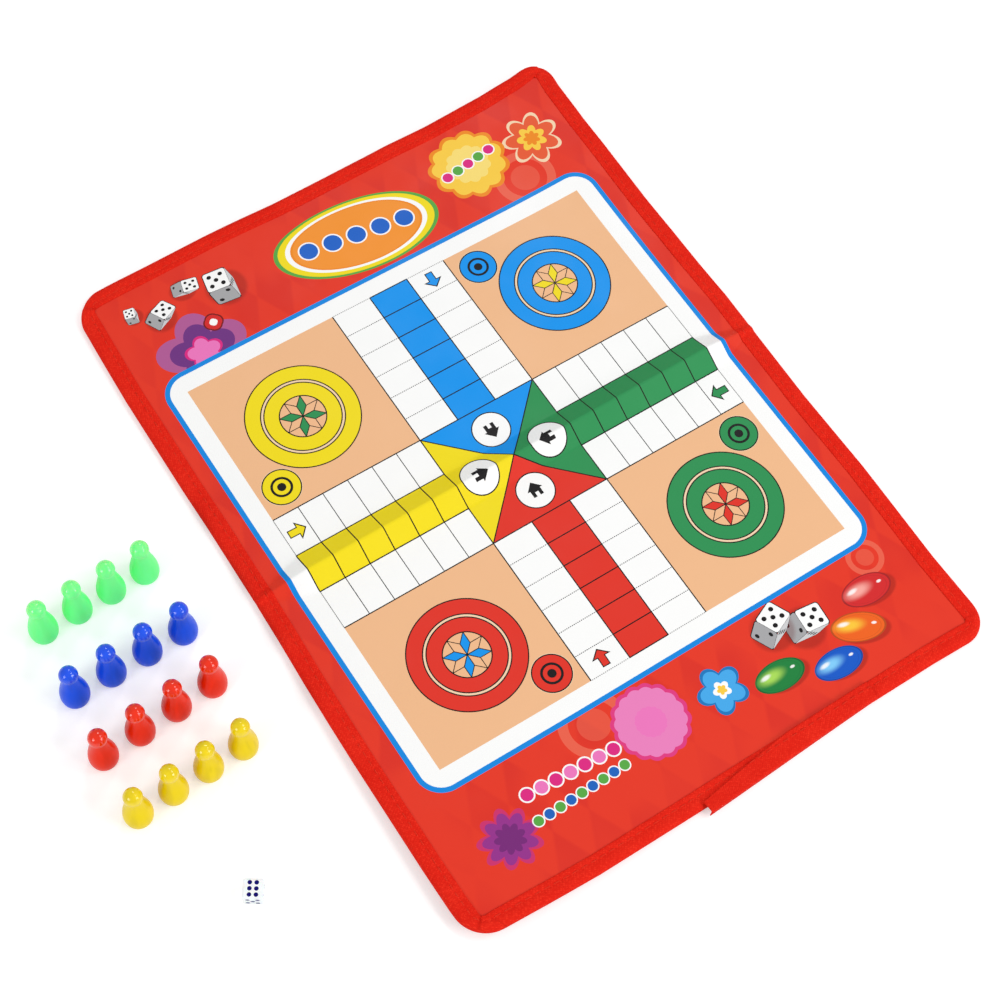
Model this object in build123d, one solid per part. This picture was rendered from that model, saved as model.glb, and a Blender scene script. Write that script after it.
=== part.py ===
from build123d import *
import math
import os

# Folding ludo board with its 16 pawns and one die, in millimetres.
# The board lies open and flat, printed face up. X runs along the fold, Y runs from the
# near half to the far half, and Z is up. The origin is on the board's underside, in the
# middle of the fold.

# ---------------------------------------------------------------- board, open and flat
board_width = 250.0  # along the fold
board_length = 335.0  # across the fold, both halves
corner_radius = 14.0  # outer corners of the bound edge
back_thickness = 0.8  # non-woven backing
insert_thickness = 2.0  # stiffening board sealed inside each half
face_thickness = 0.4  # printed laminate
insert_clearance = 0.3  # stiffener to the inside of the edge tape

# ---------------------------------------------------------------- fold
fold_gap = 0.15  # each half ends this far from the fold line, which lies as far under the board
ridge_half_width = 9.0  # the face sheet's spare length, from its crest to its foot
ridge_rise = 4.8  # height of the crest over the flat face
ridge_taper = 28.0  # beside the left and right edges the ridge gets lower and narrower over this length
ridge_end_rise = 1.1  # down to this height at the edge itself
ridge_foot_radius = 7.0
ridge_crest_radius = 1.6
back_lip = 2.0  # the near backing runs on this far past the fold line
lip_side_gap = 1.0  # the lip to the inner edge of the tape

# ---------------------------------------------------------------- edge tape and stitching
tape_thickness = 0.4
tape_width = 8.0  # shown on the face and on the back
stitch_inset = 5.3  # stitch line to the outer edge
stitch_pitch = 4.2
stitch_length = 3.0
thread_width = 0.6
thread_height = 0.25

overlap_start = -19.0  # X of the tape's raw end, which lies over its own beginning
overlap_length = 84.0
overlap_jut = 4.0  # the raw end stands this far out from the edge
overlap_inset = 6.3  # the raw end's inner corner lies this far out from the tape's inner edge
overlap_run = 46.0  # length over which the inner edge comes back into line
overlap_bevel = 2.0  # slant of the raw cut

# ---------------------------------------------------------------- pawns
pawn_height = 26.2
pawn_head_radius = 3.85
pawn_belly_radius = 6.0
pawn_belly_height = 3.9
pawn_base_radius = 5.5
pawn_neck_radius = 3.4
pawn_shoulder_radius = 4.45
pawn_shoulder_height = 13.0

# each colour stands in a row that leads away from the board's left edge: gap to the board,
# gap between pawns, Y of the pawn next to the board, step in Y to the next pawn
pawn_rows = {
    "green": (24.2, 3.5, 36.4, -0.6),
    "blue": (24.0, 4.3, 4.9, -0.4),
    "red": (25.2, 4.8, -21.0, -1.3),
    "yellow": (27.8, 3.9, -49.9, -0.9),
}
pawns_per_row = 4

# ---------------------------------------------------------------- die
die_size = 8.0
die_edge_radius = 0.9
die_board_gap = 59.8  # middle of the die to the board's left edge
die_y = -102.8
die_turn = -34.0  # degrees about Z
pip_diameter = 1.75
pip_depth = 0.25
pip_paint = 0.15  # paint at the bottom of each pip
pip_reach = 1.9  # centre of the face to a corner pip, along each side
six_row_reach = 2.35
six_column_reach = 1.3

# ---------------------------------------------------------------- worked out
half_width = board_width / 2
half_length = board_length / 2
insert_top = back_thickness + insert_thickness
face_top = insert_top + face_thickness
tape_top = face_top + tape_thickness
ridge_slope = math.degrees(math.atan2(ridge_rise, ridge_half_width))
ridge_foot_run = ridge_foot_radius * math.tan(math.radians(ridge_slope / 2))
fold_zone = ridge_half_width + ridge_foot_run  # where the face is flat again
lip_swing = math.hypot(back_lip, back_thickness + fold_gap) - back_lip
lip_clearance = lip_swing + fold_gap  # lets the lip's corner past as the board folds
die_x = -half_width - die_board_gap
sky = board_width / 4  # helper blocks reach this far above and below the board
overshoot = ridge_taper / 10  # and this far past its left and right edges
ridge_full_reach = half_width - ridge_taper
ridge_end_share = ridge_end_rise / ridge_rise
ridge_beyond_share = ridge_end_share - overshoot * (1 - ridge_end_share) / ridge_taper
NEAR, FAR = -1, 1
LEFT, RIGHT = -1, 1


def plan(inset, bottom=0.0, top=sky):
    """The board's rounded outline moved inwards by inset, as a block."""
    sketch = RectangleRounded(
        board_width - 2 * inset, board_length - 2 * inset, corner_radius - inset
    )
    return Pos(0, 0, bottom) * extrude(sketch, top - bottom)


def ridge_section(height, share, x):
    """Everything below the face in one upright section: flat at height, with a share of the ridge."""
    reach = board_length
    foot = ridge_half_width * share
    with BuildSketch(Plane.YZ.offset(x)) as section:
        with BuildLine():
            FilletPolyline(
                (-reach, height),
                (-foot, height),
                (0, height + ridge_rise * share),
                (foot, height),
                (reach, height),
                radius=[ridge_foot_radius * share, ridge_crest_radius * share, ridge_foot_radius * share],
            )
            Polyline((reach, height), (reach, -sky), (-reach, -sky), (-reach, height))
        make_face()
    return section.sketch


def under(height):
    """Everything below a surface at height, whose ridge shrinks towards the left and right edges."""
    full = ridge_section(height, 1, -ridge_full_reach)
    block = extrude(full, 2 * ridge_full_reach, dir=(1, 0, 0))
    end_reach = half_width + overshoot
    for hand in (LEFT, RIGHT):
        start = ridge_section(height, 1, hand * ridge_full_reach)
        end = ridge_section(height, ridge_beyond_share, hand * end_reach)
        block += loft([start, end])
    return block


def span(side, start, end):
    """A block over the whole width, from start to end away from the fold on one side."""
    block = Box(2 * board_width, end - start, 2 * sky)
    return Pos(0, side * (start + end) / 2, 0) * block


def end_wedge(side):
    """Plan area of one end of the board between the two mitre lines at its corners."""
    reach = corner_radius + tape_width
    outline = Polyline(
        (-half_width - reach, side * (half_length + reach)),
        (half_width + reach, side * (half_length + reach)),
        (half_width - reach, side * (half_length - reach)),
        (-half_width + reach, side * (half_length - reach)),
        close=True,
    )
    return Pos(0, 0, -sky) * extrude(make_face(outline), 2 * sky)


def lip(clearance):
    """The strip of backing that the near half carries across the fold line."""
    width = board_width - 2 * (tape_width + lip_side_gap - clearance)
    length = 2 * (back_lip + clearance)
    return Pos(0, 0, back_thickness / 2) * Box(width, length, back_thickness)


def back_sheet(side):
    """Backing, thinned along its edge where the tape is sewn under it."""
    sheet = plan(tape_thickness, tape_thickness, back_thickness)
    sheet += plan(tape_width, 0, back_thickness)
    sheet &= span(side, fold_gap, board_length)
    if side == NEAR:
        return sheet + lip(0)
    return sheet - lip(lip_clearance)


def insert_board(side):
    board = plan(tape_thickness + insert_clearance, back_thickness, insert_top)
    return board & span(side, fold_zone, board_length)


face_layer = plan(tape_thickness) & under(face_top) - under(insert_top)
tape_channel = (
    plan(0)
    - plan(tape_width, -sky)
    - (plan(tape_thickness, tape_thickness) & under(face_top))
) & under(tape_top)


def tape_end(side):
    return tape_channel & end_wedge(side)


def tape_side(side, hand, start, end):
    """One straight run of tape: hand is LEFT or RIGHT, start and end as in span."""
    strip = Pos(hand * half_width, 0, 0) * Box(2 * corner_radius, 2 * board_length, 2 * sky)
    return (tape_channel & strip & span(side, start, end)) - end_wedge(side)


def tape_overlap():
    """Raw end of the tape: a second layer over the near edge, its cut end standing out."""
    end = overlap_start + overlap_length
    inner = tape_width - half_length
    outer = -half_length - tape_thickness
    raw_outer = (overlap_start - overlap_bevel, outer - overlap_jut)
    top = Polyline(
        (overlap_start, inner - overlap_inset),
        (overlap_start + overlap_run, inner),
        (end, inner),
        (end, outer),
        raw_outer,
        close=True,
    )
    slant = math.atan2(overlap_jut, end - raw_outer[0])
    thick = tape_thickness / math.cos(slant)
    wall = Polyline(
        raw_outer,
        (end, outer),
        (end, outer + thick),
        (raw_outer[0], raw_outer[1] + thick),
        close=True,
    )
    layer = Pos(0, 0, tape_top) * extrude(make_face(top), tape_thickness)
    return layer + Pos(0, 0, tape_thickness) * extrude(make_face(wall), face_top)


def stitching(side):
    """One row of stitches along the tape of one half, a separate solid for each stitch."""
    line = RectangleRounded(
        board_width - 2 * stitch_inset,
        board_length - 2 * stitch_inset,
        corner_radius - stitch_inset,
    ).wire()
    count = round(line.length / stitch_pitch)
    clear_of_fold = fold_zone + stitch_length
    overlap_end = overlap_start + overlap_length
    stitches = []
    for i in range(count):
        along = (i + 0.5) / count
        place = line.position_at(along)
        way = line.tangent_at(along)
        if side * place.Y < clear_of_fold:
            continue
        before = place.X - stitch_length
        after = place.X + stitch_length
        height = tape_top
        along_x = abs(way.X) > abs(way.Y)
        if side == NEAR and along_x and after > overlap_start and before < overlap_end:
            if before < overlap_start or after > overlap_end:
                continue  # the thread dives under at each end of the overlap
            height += tape_thickness
        turn = math.degrees(math.atan2(way.Y, way.X))
        thread = Box(stitch_length, thread_width, thread_height)
        stitches.append(Pos(place.X, place.Y, height + thread_height / 2) * Rot(0, 0, turn) * thread)
    return Compound(children=stitches)


def pawn():
    """Ball-headed pawn, turned about its own axis, standing on a flat base."""
    head_height = pawn_height - pawn_head_radius
    neck_top = head_height - math.sqrt(pawn_head_radius**2 - pawn_neck_radius**2)
    with BuildPart() as turned:
        with BuildSketch(Plane.XZ):
            with BuildLine():
                Spline(
                    (pawn_base_radius, 0),
                    (pawn_belly_radius, pawn_belly_height),
                    (pawn_shoulder_radius, pawn_shoulder_height),
                    (pawn_neck_radius, neck_top),
                )
                ThreePointArc(
                    (pawn_neck_radius, neck_top),
                    (pawn_head_radius, head_height),
                    (0, pawn_height),
                )
                Polyline((0, pawn_height), (0, 0), (pawn_base_radius, 0))
            make_face()
        revolve(axis=Axis.Z)
    return turned.part


def pip_places(count):
    """Centres of the pips on one face, from the middle of the face."""
    far_corner, near_corner = (pip_reach, pip_reach), (-pip_reach, -pip_reach)
    layout = [(0, 0)] if count % 2 else []
    if count > 1:
        layout += [far_corner, near_corner]
    if count in (4, 5):
        layout += [(-pip_reach, pip_reach), (pip_reach, -pip_reach)]
    if count == 6:
        columns = (-six_column_reach, six_column_reach)
        rows = (-six_row_reach, 0, six_row_reach)
        layout = [(x, y) for x in columns for y in rows]
    return layout


def die_faces():
    """The plane of each face of the die, with its number of pips: opposite faces add up to 7."""
    half = die_size / 2
    centre = Vector(die_x, die_y, half)
    along = Vector(1, 0, 0).rotate(Axis.Z, die_turn)
    away = Vector(0, 1, 0).rotate(Axis.Z, die_turn)
    up = Vector(0, 0, 1)
    faces = ((up, along, 6), (up * -1, along, 1), (away * -1, along, 5))
    faces += ((away, along, 2), (along, away, 4), (along * -1, away, 3))
    for normal, across, count in faces:
        yield Plane(centre + normal * half, x_dir=across, z_dir=normal), count


def pip_discs(depth, thickness):
    """A disc for every pip, its top this deep under the face, and this thick."""
    disc = Cylinder(pip_diameter / 2, thickness, align=(Align.CENTER, Align.CENTER, Align.MAX))
    discs = []
    for face, count in die_faces():
        for x, y in pip_places(count):
            discs.append(face * Pos(x, y, -depth) * disc)
    return discs


def die():
    block = Box(die_size, die_size, die_size)
    block = fillet(block.edges(), die_edge_radius)
    block = Pos(die_x, die_y, die_size / 2) * Rot(0, 0, die_turn) * block
    return block - pip_discs(0, pip_depth)


def pieces():
    """Every piece of the set, with its name."""
    for side, half in ((NEAR, "near"), (FAR, "far")):
        yield half + "_back_sheet", back_sheet(side)
        yield half + "_insert", insert_board(side)
        yield half + "_face_sheet", face_layer & span(side, fold_zone, board_length)
        yield half + "_fold_ridge", face_layer & span(side, fold_gap, fold_zone)
        yield half + "_tape_end", tape_end(side)
        for hand, name in ((LEFT, "left"), (RIGHT, "right")):
            yield half + "_tape_" + name, tape_side(side, hand, fold_zone, board_length)
            yield half + "_tape_fold_" + name, tape_side(side, hand, fold_gap, fold_zone)
        yield half + "_stitching", stitching(side)
    yield "tape_overlap", tape_overlap()
    for colour, (board_gap, pawn_gap, first_y, step_y) in pawn_rows.items():
        first_x = -half_width - board_gap - pawn_belly_radius
        step_x = -2 * pawn_belly_radius - pawn_gap
        for i in range(pawns_per_row):
            place = Pos(first_x + i * step_x, first_y + i * step_y, 0)
            yield "pawn_" + colour + "_" + str(i + 1), place * pawn()
    yield "die", die()
    yield "die_pips", Compound(children=pip_discs(pip_depth - pip_paint, pip_paint))


os.makedirs("parts", exist_ok=True)
for name, shape in pieces():
    export_step(shape, "parts/" + name + ".step")
    print(name, "volume", round(shape.volume, 2))
print("the far half folds about a line along X at Z =", -fold_gap)
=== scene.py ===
# %% [markdown]
# # A folding ludo board with its pawns and die
# The board is a thin padded sheet: a printed plastic-faced cloth over two stiff inserts, a red cloth
# back, and a red edge tape sewn on all round. Sixteen pawns and a die stand beside it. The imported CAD
# model already holds every size and place, so this file starts from it and only dresses it: it could
# paint the CAD solids, but cloth needs soft edges and stitches that a solid hasn't, so the board's
# outer layers are made again as meshes inside the same sizes.

# %% Load the frame
import math

import bpy
import numpy as np
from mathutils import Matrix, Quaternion, Vector


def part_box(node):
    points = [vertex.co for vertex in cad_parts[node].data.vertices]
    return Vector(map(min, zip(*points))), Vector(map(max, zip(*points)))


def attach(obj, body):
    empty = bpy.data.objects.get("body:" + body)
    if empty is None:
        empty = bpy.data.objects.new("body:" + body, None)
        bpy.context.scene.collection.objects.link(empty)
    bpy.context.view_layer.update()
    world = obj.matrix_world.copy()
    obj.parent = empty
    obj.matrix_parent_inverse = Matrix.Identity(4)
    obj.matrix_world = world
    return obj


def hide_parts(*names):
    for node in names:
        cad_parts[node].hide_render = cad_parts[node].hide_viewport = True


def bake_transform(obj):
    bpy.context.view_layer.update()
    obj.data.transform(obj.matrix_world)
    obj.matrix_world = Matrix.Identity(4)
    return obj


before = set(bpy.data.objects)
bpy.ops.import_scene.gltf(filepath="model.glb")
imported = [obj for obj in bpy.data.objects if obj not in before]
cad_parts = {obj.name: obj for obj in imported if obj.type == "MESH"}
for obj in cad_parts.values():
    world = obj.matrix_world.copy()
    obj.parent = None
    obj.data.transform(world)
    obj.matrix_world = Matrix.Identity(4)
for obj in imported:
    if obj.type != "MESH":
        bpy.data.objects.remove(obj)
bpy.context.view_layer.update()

# %% [markdown]
# Sizes come from the boxes of the CAD nodes, so that the looks follow the model if it changes. A few
# sizes that no box shows, such as the radius of the board's corners, are named here in millimetres.

# %% Sizes of the board
MM = 0.001
near_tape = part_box("near_tape_end")
side_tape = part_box("near_tape_fold_left")
half_width = -side_tape[0].x
half_length = -near_tape[0].y
tape_width = side_tape[1].x - side_tape[0].x
tape_top = near_tape[1].z
face_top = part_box("near_face_sheet")[1].z
face_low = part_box("near_face_sheet")[0].z
back_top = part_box("near_back_sheet")[1].z
fold_zone = -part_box("near_face_sheet")[1].y
corner_radius = 14 * MM
tape_thickness = tape_top - face_top
print("board", round(2 * half_width / MM), "x", round(2 * half_length / MM), "mm")

# %% [markdown]
# The camera looks down steeply on the board, from the near left, with a slight roll. Its aim, its
# distance and three angles say that more plainly than a matrix would.

# %% Camera
camera_aim = Vector((-15.0, -13.2, 3.2)) * MM
camera_distance = 845.4 * MM
camera_azimuth = math.radians(-38.49)
camera_elevation = math.radians(62.93)
camera_roll = math.radians(6.01)
level = math.cos(camera_elevation)
back = Vector((
    math.sin(camera_azimuth) * level,
    -math.cos(camera_azimuth) * level,
    math.sin(camera_elevation),
))
camera = bpy.data.objects.new("camera", bpy.data.cameras.new("camera"))
camera.data.sensor_width = 36
camera.data.lens = 72.99
camera.location = camera_aim + back * camera_distance
camera.rotation_mode = "QUATERNION"
camera.rotation_quaternion = (-back).to_track_quat("-Z", "Y") @ Quaternion((0, 0, 1), camera_roll)
camera.data.clip_start = 0.01
bpy.context.scene.collection.objects.link(camera)
bpy.context.scene.camera = camera
bpy.context.scene.view_settings.view_transform = "Standard"
print("camera", round(camera_distance / MM), "mm from its aim, lens", round(camera.data.lens, 1))

# %% [markdown]
# A shader is a graph of nodes. Written node by node, a printed pattern would be very long, so these
# small classes let it be written as sums: each one holds a socket, and adding or comparing two of them
# adds a Math node to the graph.


# %% Sums in a shader
def feed(tree, socket, value):
    """Gives a socket its value: one that varies over the surface is linked, a plain one is set."""
    if hasattr(value, "socket"):
        tree.links.new(value.socket, socket)
    else:
        socket.default_value = value


def sum_of(operation):
    """A method that puts a Math node between its own number and others."""
    return lambda self, *others: self.math(operation, *others)


class Number:
    """A number that varies over a surface."""

    def __init__(self, tree, socket):
        self.tree = tree
        self.socket = socket

    def math(self, operation, *others):
        node = self.tree.nodes.new("ShaderNodeMath")
        node.operation = operation
        for index, value in enumerate((self,) + others):
            feed(self.tree, node.inputs[index], value)
        return Number(self.tree, node.outputs[0])

    __add__, __sub__ = sum_of("ADD"), sum_of("SUBTRACT")
    __mul__, __truediv__ = sum_of("MULTIPLY"), sum_of("DIVIDE")
    most, least = sum_of("MAXIMUM"), sum_of("MINIMUM")
    below, above = sum_of("LESS_THAN"), sum_of("GREATER_THAN")  # 1 where it is so, and 0 elsewhere
    near = sum_of("COMPARE")  # 1 within a reach of a middle, and 0 elsewhere: a line or a band
    size = sum_of("ABSOLUTE")

    def flip(self):
        """0 where a mask is 1, and 1 where it is 0."""
        return self * -1 + 1

    def choose(self, when_one, when_zero):
        """One of two numbers, by this mask of ones and zeros."""
        return (when_one - when_zero) * self + when_zero

    def ramp(self, start, end, low=0.0, high=1.0):
        """Rises smoothly from low at start to high at end."""
        node = self.tree.nodes.new("ShaderNodeMapRange")
        node.interpolation_type = "SMOOTHSTEP"
        for index, value in enumerate((self, start, end, low, high)):
            feed(self.tree, node.inputs[index], value)
        return Number(self.tree, node.outputs[0])


# %% Shapes and paint in a shader
class Place:
    """A point that varies over a surface."""

    def __init__(self, tree, socket):
        self.tree = tree
        self.socket = socket
        self.parts = None

    def vector(self, operation, *others):
        node = self.tree.nodes.new("ShaderNodeVectorMath")
        node.operation = operation
        for index, value in enumerate((self,) + others):
            feed(self.tree, node.inputs[index], value)
        return node

    def moved(self, operation, other=(0, 0, 0)):
        return Place(self.tree, self.vector(operation, other).outputs["Vector"])

    def distance(self, x=0, y=0):
        return Number(self.tree, self.vector("DISTANCE", (x, y, 0)).outputs["Value"])

    def along(self, x, y):
        return Number(self.tree, self.vector("DOT_PRODUCT", (x, y, 0)).outputs["Value"])

    def axis(self, index):
        if self.parts is None:
            node = self.tree.nodes.new("ShaderNodeSeparateXYZ")
            self.tree.links.new(self.socket, node.inputs[0])
            self.parts = [Number(self.tree, output) for output in node.outputs]
        return self.parts[index]

    def seen_from(self, x, y, turn=0, size=(1, 1)):
        """The same point from a middle at x, y, in lengths of size, on axes turned by degrees."""
        node = self.tree.nodes.new("ShaderNodeMapping")
        node.vector_type = "TEXTURE"
        self.tree.links.new(self.socket, node.inputs["Vector"])
        node.inputs["Location"].default_value = (x, y, 0)
        node.inputs["Rotation"].default_value = (0, 0, math.radians(turn))
        node.inputs["Scale"].default_value = (size[0], size[1], 1)
        return Place(self.tree, node.outputs[0])


def place_of(tree, x, y):
    node = tree.nodes.new("ShaderNodeCombineXYZ")
    feed(tree, node.inputs[0], x)
    feed(tree, node.inputs[1], y)
    return Place(tree, node.outputs[0])


class Colour:
    """A colour that varies over a surface."""

    def __init__(self, tree, socket):
        self.tree = tree
        self.socket = socket

    def under(self, *layers):
        """This colour with layers laid on it, each a mask and a paint, the lowest one first."""
        colour = self
        for mask, paint in layers:
            colour = over(self.tree, colour, mask, paint)
        return colour


MIX_BELOW, MIX_ABOVE, MIX_RESULT = 6, 7, 2  # the colour sockets of a Mix node


def over(tree, below, mask, colour):
    """Paints colour over what is below, as far as mask says."""
    node = tree.nodes.new("ShaderNodeMix")
    node.data_type = "RGBA"
    feed(tree, node.inputs[0], mask)
    feed(tree, node.inputs[MIX_BELOW], below)
    feed(tree, node.inputs[MIX_ABOVE], colour)
    return Colour(tree, node.outputs[MIX_RESULT])


def ink(red, green, blue):
    """A colour given as 0 to 255, as on a colour card, in the linear numbers that Blender mixes."""
    parts = []
    for share in (red / 255, green / 255, blue / 255):
        parts.append(share / 12.92 if share < 0.04045 else ((share + 0.055) / 1.055) ** 2.4)
    return (*parts, 1)


# %% [markdown]
# Effects that several materials share are node groups. One helper makes an empty one with named
# sockets, and another places a group in a material with its own values. Two more say where a point
# lies: on the flat sheet it was printed on, or in the solid piece it belongs to.

# %% Groups and materials
SOCKETS = {Number: "NodeSocketFloat", Place: "NodeSocketVector", Colour: "NodeSocketColor"}
KINDS = {"VALUE": Number, "VECTOR": Place, "RGBA": Colour}  # the same kinds, as a node's outputs name them


def new_group(name, takes, gives):
    """A node group. takes and gives are the kinds of its sockets by name."""
    tree = bpy.data.node_groups.new(name, "ShaderNodeTree")
    for label, kind in takes.items():
        tree.interface.new_socket(label, in_out="INPUT", socket_type=SOCKETS[kind])
    for label, kind in gives.items():
        tree.interface.new_socket(label, in_out="OUTPUT", socket_type=SOCKETS[kind])
    source = tree.nodes.new("NodeGroupInput").outputs
    result = tree.nodes.new("NodeGroupOutput").inputs
    taken = [kind(tree, source[label]) for label, kind in takes.items()]
    return tree, taken, result


def place_group(tree, group, **values):
    """One use of a group: values are its inputs, and what it gives comes back by name."""
    node = tree.nodes.new("ShaderNodeGroup")
    node.node_tree = group
    for label, value in values.items():
        feed(tree, node.inputs[label], value)
    return {output.name: KINDS[output.type](tree, output) for output in node.outputs}


def noise(tree, place, scale, detail):
    """Soft random clouds, scale of them to each unit of place, as a number from 0 to 1."""
    node = tree.nodes.new("ShaderNodeTexNoise")
    feed(tree, node.inputs["Vector"], place)
    node.inputs["Scale"].default_value = scale
    node.inputs["Detail"].default_value = detail
    return Number(tree, node.outputs[0])


def new_material(name, **settings):
    """A Principled material: settings are plain numbers for its own sockets."""
    material = bpy.data.materials.new(name)
    material.use_nodes = True
    tree = material.node_tree
    shader = tree.nodes["Principled BSDF"]
    for label, value in settings.items():
        shader.inputs[label.replace("_", " ")].default_value = value
    return material, tree, shader


def sheet_place(tree):
    """Where a point lies on the flat sheet or tape, in millimetres: it stays with the cloth as it bends."""
    node = tree.nodes.new("ShaderNodeAttribute")
    node.attribute_name = "flat"
    return Place(tree, node.outputs["Vector"])


def solid_place(tree):
    """Where a point lies in the piece's own space, in metres: for a material that runs right through."""
    node = tree.nodes.new("ShaderNodeTexCoord")
    return Place(tree, node.outputs["Object"])


def bump(tree, shader, height, distance, strength=1.0):
    """Relief that only the shading shows. distance is how high a height of 1 stands, in metres."""
    node = tree.nodes.new("ShaderNodeBump")
    node.inputs["Strength"].default_value = strength
    node.inputs["Distance"].default_value = distance
    feed(tree, node.inputs["Height"], height)
    tree.links.new(node.outputs["Normal"], shader.inputs["Normal"])


# %% [markdown]
# The floor is pale and plain. A white floor under plain light still looks grey to the camera, so its
# material adds a little glow that only the camera sees: the shadows stay, and the lamps needn't be
# turned up until the board bleaches. Far from the set, where the lamps no longer reach, it glows a
# little more, so that no grey band stands at the horizon in a low view.

# %% Floor
FLOOR_REACH = 6.0
FLOOR_DROP = 0.02 * MM
FLOOR_GLOW = 0.38
FAR_GLOW = 0.24  # added where the lamps no longer reach
LAMPLIGHT_FADES = (0.5, 2.6)  # metres from the middle


def seen_by(tree, *kinds):
    """1 on the kinds of light path that are named, and 0 on all others."""
    rays = tree.nodes.new("ShaderNodeLightPath")
    seen = Number(tree, rays.outputs[kinds[0]])
    for kind in kinds[1:]:
        seen = seen.most(Number(tree, rays.outputs[kind]))
    return seen


floor_mesh = bpy.data.meshes.new("floor")
floor_corners = [(x * FLOOR_REACH, y * FLOOR_REACH, 0) for x, y in ((-1, -1), (1, -1), (1, 1), (-1, 1))]
floor_mesh.from_pydata(floor_corners, [], [(0, 1, 2, 3)])
floor = bpy.data.objects.new("floor", floor_mesh)
floor.location.z = -FLOOR_DROP
bpy.context.scene.collection.objects.link(floor)
floor_material, tree, shader = new_material(
    "floor", Base_Color=(0.8, 0.8, 0.8, 1), Roughness=0.9, Specular_IOR_Level=0
)
seen = seen_by(tree, "Is Camera Ray", "Is Glossy Ray", "Is Transmission Ray")
far_off = solid_place(tree).distance().ramp(*LAMPLIGHT_FADES)
feed(tree, shader.inputs["Emission Color"], (1, 1, 1, 1))
feed(tree, shader.inputs["Emission Strength"], seen * (far_off * FAR_GLOW + FLOOR_GLOW))
floor_mesh.materials.append(floor_material)

# %% [markdown]
# Four soft lamps light the set. Two large ones stand in front and at the left, and show as soft spots
# on the heads of the pawns. The sky fills the shadows, and only the camera sees it as plain white.

# %% Light
SKY_LIGHT = 0.5
LAMPS = (  # name, place, width and power
    ("lamp_right", (0.90, -0.52, 1.5), 0.5, 4.8),
    ("lamp_near", (0.67, -1.20, 0.71), 0.6, 8.0),
    ("lamp_left", (-1.50, -0.32, 0.8), 0.6, 7.6),
    ("lamp_far", (0.55, 0.72, 1.25), 0.3, 3.0),
)
world = bpy.data.worlds.new("studio")
bpy.context.scene.world = world
world.use_nodes = True
tree = world.node_tree
sky = tree.nodes["Background"]
feed(tree, sky.inputs["Color"], (1, 1, 1, 1))
feed(tree, sky.inputs["Strength"], seen_by(tree, "Is Camera Ray") * (1 - SKY_LIGHT) + SKY_LIGHT)
for name, stand, width, power in LAMPS:
    lamp = bpy.data.lights.new(name, "AREA")
    lamp.size = width
    lamp.energy = power
    holder = bpy.data.objects.new(name, lamp)
    holder.location = stand
    holder.rotation_euler = (camera_aim - holder.location).to_track_quat("-Z", "Y").to_euler()
    bpy.context.scene.collection.objects.link(holder)
print(len(LAMPS), "lamps,", sum(power for *_, power in LAMPS), "watts")

# %% [markdown]
# ## The printed face
# The face is printed: a ludo pattern in a blue-edged white panel, on red, with small pictures at both
# ends. An image would be the quick way, but a pattern made of nodes stays sharp at any distance. It is
# written in millimetres on the flat sheet, and it is folded on itself first: the four arms and the
# four corner fields are the same drawing turned by a quarter, so each thing is drawn once.

# %% Inks
white = ink(253, 253, 252)
peach = ink(242, 188, 142)
cream = ink(246, 214, 178)
dark_line = ink(22, 16, 16)
grey_line = ink(62, 62, 62)
black = ink(24, 22, 24)
red = ink(226, 52, 38)
blue = ink(8, 150, 240)
green = ink(46, 146, 84)
yellow = ink(244, 222, 24)
field_red = ink(231, 56, 35)
field_dark = ink(213, 40, 33)
border_blue = ink(14, 138, 226)
orange = ink(240, 140, 30)
gold = ink(250, 205, 70)
pink = ink(238, 120, 190)
magenta = ink(222, 40, 130)
purple = ink(150, 50, 140)
deep_purple = ink(112, 52, 130)
mauve = ink(178, 92, 150)
salmon = ink(238, 108, 84)
sky_blue = ink(70, 170, 235)
leaf_green = ink(90, 170, 70)
shade_grey = ink(168, 168, 170)

# %% Sizes of the ludo pattern, in millimetres
PATTERN_HALF = 100.0
ARM_HALF = 28.4
COLUMN_HALF = ARM_HALF / 3
CELL = (PATTERN_HALF - ARM_HALF) / 6
LINE = 0.26  # half the width of a printed line
THIN_LINE = 0.75 * LINE
DOT_PITCH = 0.9  # of the dotted lines between white cells
DOT_GAP = 0.4  # share of the pitch that stays white
BORDER_HALF = 110.0
BORDER_WIDTH = 2.2
BORDER_RADIUS = 11.5
ROSE_MIDDLE = 64.3
ROSE_RINGS = (24.65, 17.9, 16.5, 10.0)
START_ALONG = 89.0
START_ACROSS = 39.9
START_RADIUS = 8.2
START_HALO = 0.5
TARGET_RING = (4.2, 0.55)  # radius and half width of its line
TARGET_DOT = 1.9
ARROW_ACROSS = 2 * COLUMN_HALF + 0.1
ARROW_ALONG = 94.2
ARROW_TURN = -1.5
ARROW_SCALE = 1.18
HOME_ALONG = 17.0
HOME_RADIUS = 8.3
print("cells", round(CELL, 1), "by", round(2 * COLUMN_HALF, 1), "mm")

# %% [markdown]
# Each corner field has a round rose with an eight-pointed star. One eighth of a star is a plain kite,
# so the angle round the middle is folded until every point lies in the same eighth.


# %% A star of kites
STAR_LINE = 0.02  # half the width of a line in the star, as a share of its radius


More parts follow.
